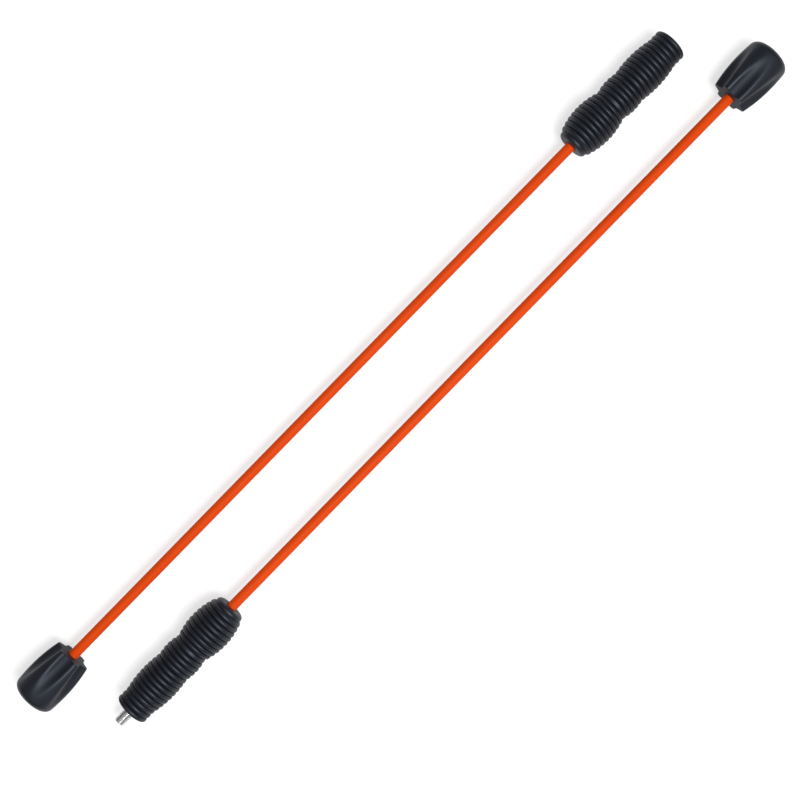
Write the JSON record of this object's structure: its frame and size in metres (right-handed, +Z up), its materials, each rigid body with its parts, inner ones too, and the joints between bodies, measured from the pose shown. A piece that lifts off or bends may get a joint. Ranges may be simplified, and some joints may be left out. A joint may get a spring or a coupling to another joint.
{
  "type": "flexible training stick",
  "caption": "Two-piece flexible training stick: orange fibre rods with fluted rubber end weights and ribbed rubber grips that screw together end to end.",
  "frame": {"origin": "midway between the two halves, on the surface they lie on", "axes": "+X along the sticks, towards the socket half's open end; +Y towards the socket half; +Z up"},
  "size_m": [0.8544, 0.1104, 0.0406],
  "materials": {
    "rubber": "matt to satin moulded rubber",
    "sleeve": "smooth glossy orange plastic",
    "glass_fibre": "pultruded glass fibre",
    "bush": "natural nylon",
    "tube": "drawn aluminium",
    "steel": "turned steel",
    "stud_steel": "bright plated steel",
    "slug": "dull steel"
  },
  "bodies": {
    "socket_handle": {"socket_half_grip": "rubber", "socket_half_rod_bush": "bush", "socket_half_rod_pin": "steel", "socket_half_rod_core": "glass_fibre", "socket_half_rod_sleeve": "sleeve", "socket_half_handle_tube": "tube", "thread_socket": "steel"},
    "socket_tip": {"socket_half_end_cover": "rubber", "socket_half_end_weight": "slug", "socket_half_weight_pin": "steel"},
    "stud_carriage": {"stud_half_handle_tube": "tube"},
    "stud_handle": {"stud_half_grip": "rubber", "stud_half_rod_bush": "bush", "stud_half_rod_pin": "steel", "stud_half_rod_core": "glass_fibre", "stud_half_rod_sleeve": "sleeve", "stud_plug": "steel", "threaded_stud": "stud_steel", "stud_lock_pin": "steel"},
    "stud_tip": {"stud_half_end_cover": "rubber", "stud_half_end_weight": "slug", "stud_half_weight_pin": "steel"}
  },
  "joints": [
    {"name": "stud_half_advance", "type": "slide", "parent": "socket_handle", "child": "stud_carriage", "axis": [-1, 0, 0], "range_m": [0, 0.015]},
    {"name": "stud_half_turn", "type": "hinge", "parent": "stud_carriage", "child": "stud_handle", "pos_m": [-0.3728, -0.0347, 0.02032], "axis": [-1, 0, 0], "range_deg": [0, 3600]},
    {"name": "socket_half_rod_flex", "type": "hinge", "parent": "socket_handle", "child": "socket_tip", "pos_m": [0.03997, 0.0347, 0.02032], "axis": [0, 1, 0], "range_deg": [0, 20], "stiffness_Nm_per_rad": 17, "deforming": ["socket_half_rod_core", "socket_half_rod_sleeve"]},
    {"name": "stud_half_rod_flex", "type": "hinge", "parent": "stud_handle", "child": "stud_tip", "pos_m": [-0.03997, -0.0347, 0.02032], "axis": [0, -1, 0], "range_deg": [0, 20], "stiffness_Nm_per_rad": 17, "deforming": ["stud_half_rod_core", "stud_half_rod_sleeve"]}
  ],
  "couplings": [
    {"joint": "stud_half_advance", "follows": "stud_half_turn", "m_per_rad": 0.00023873}
  ]
}
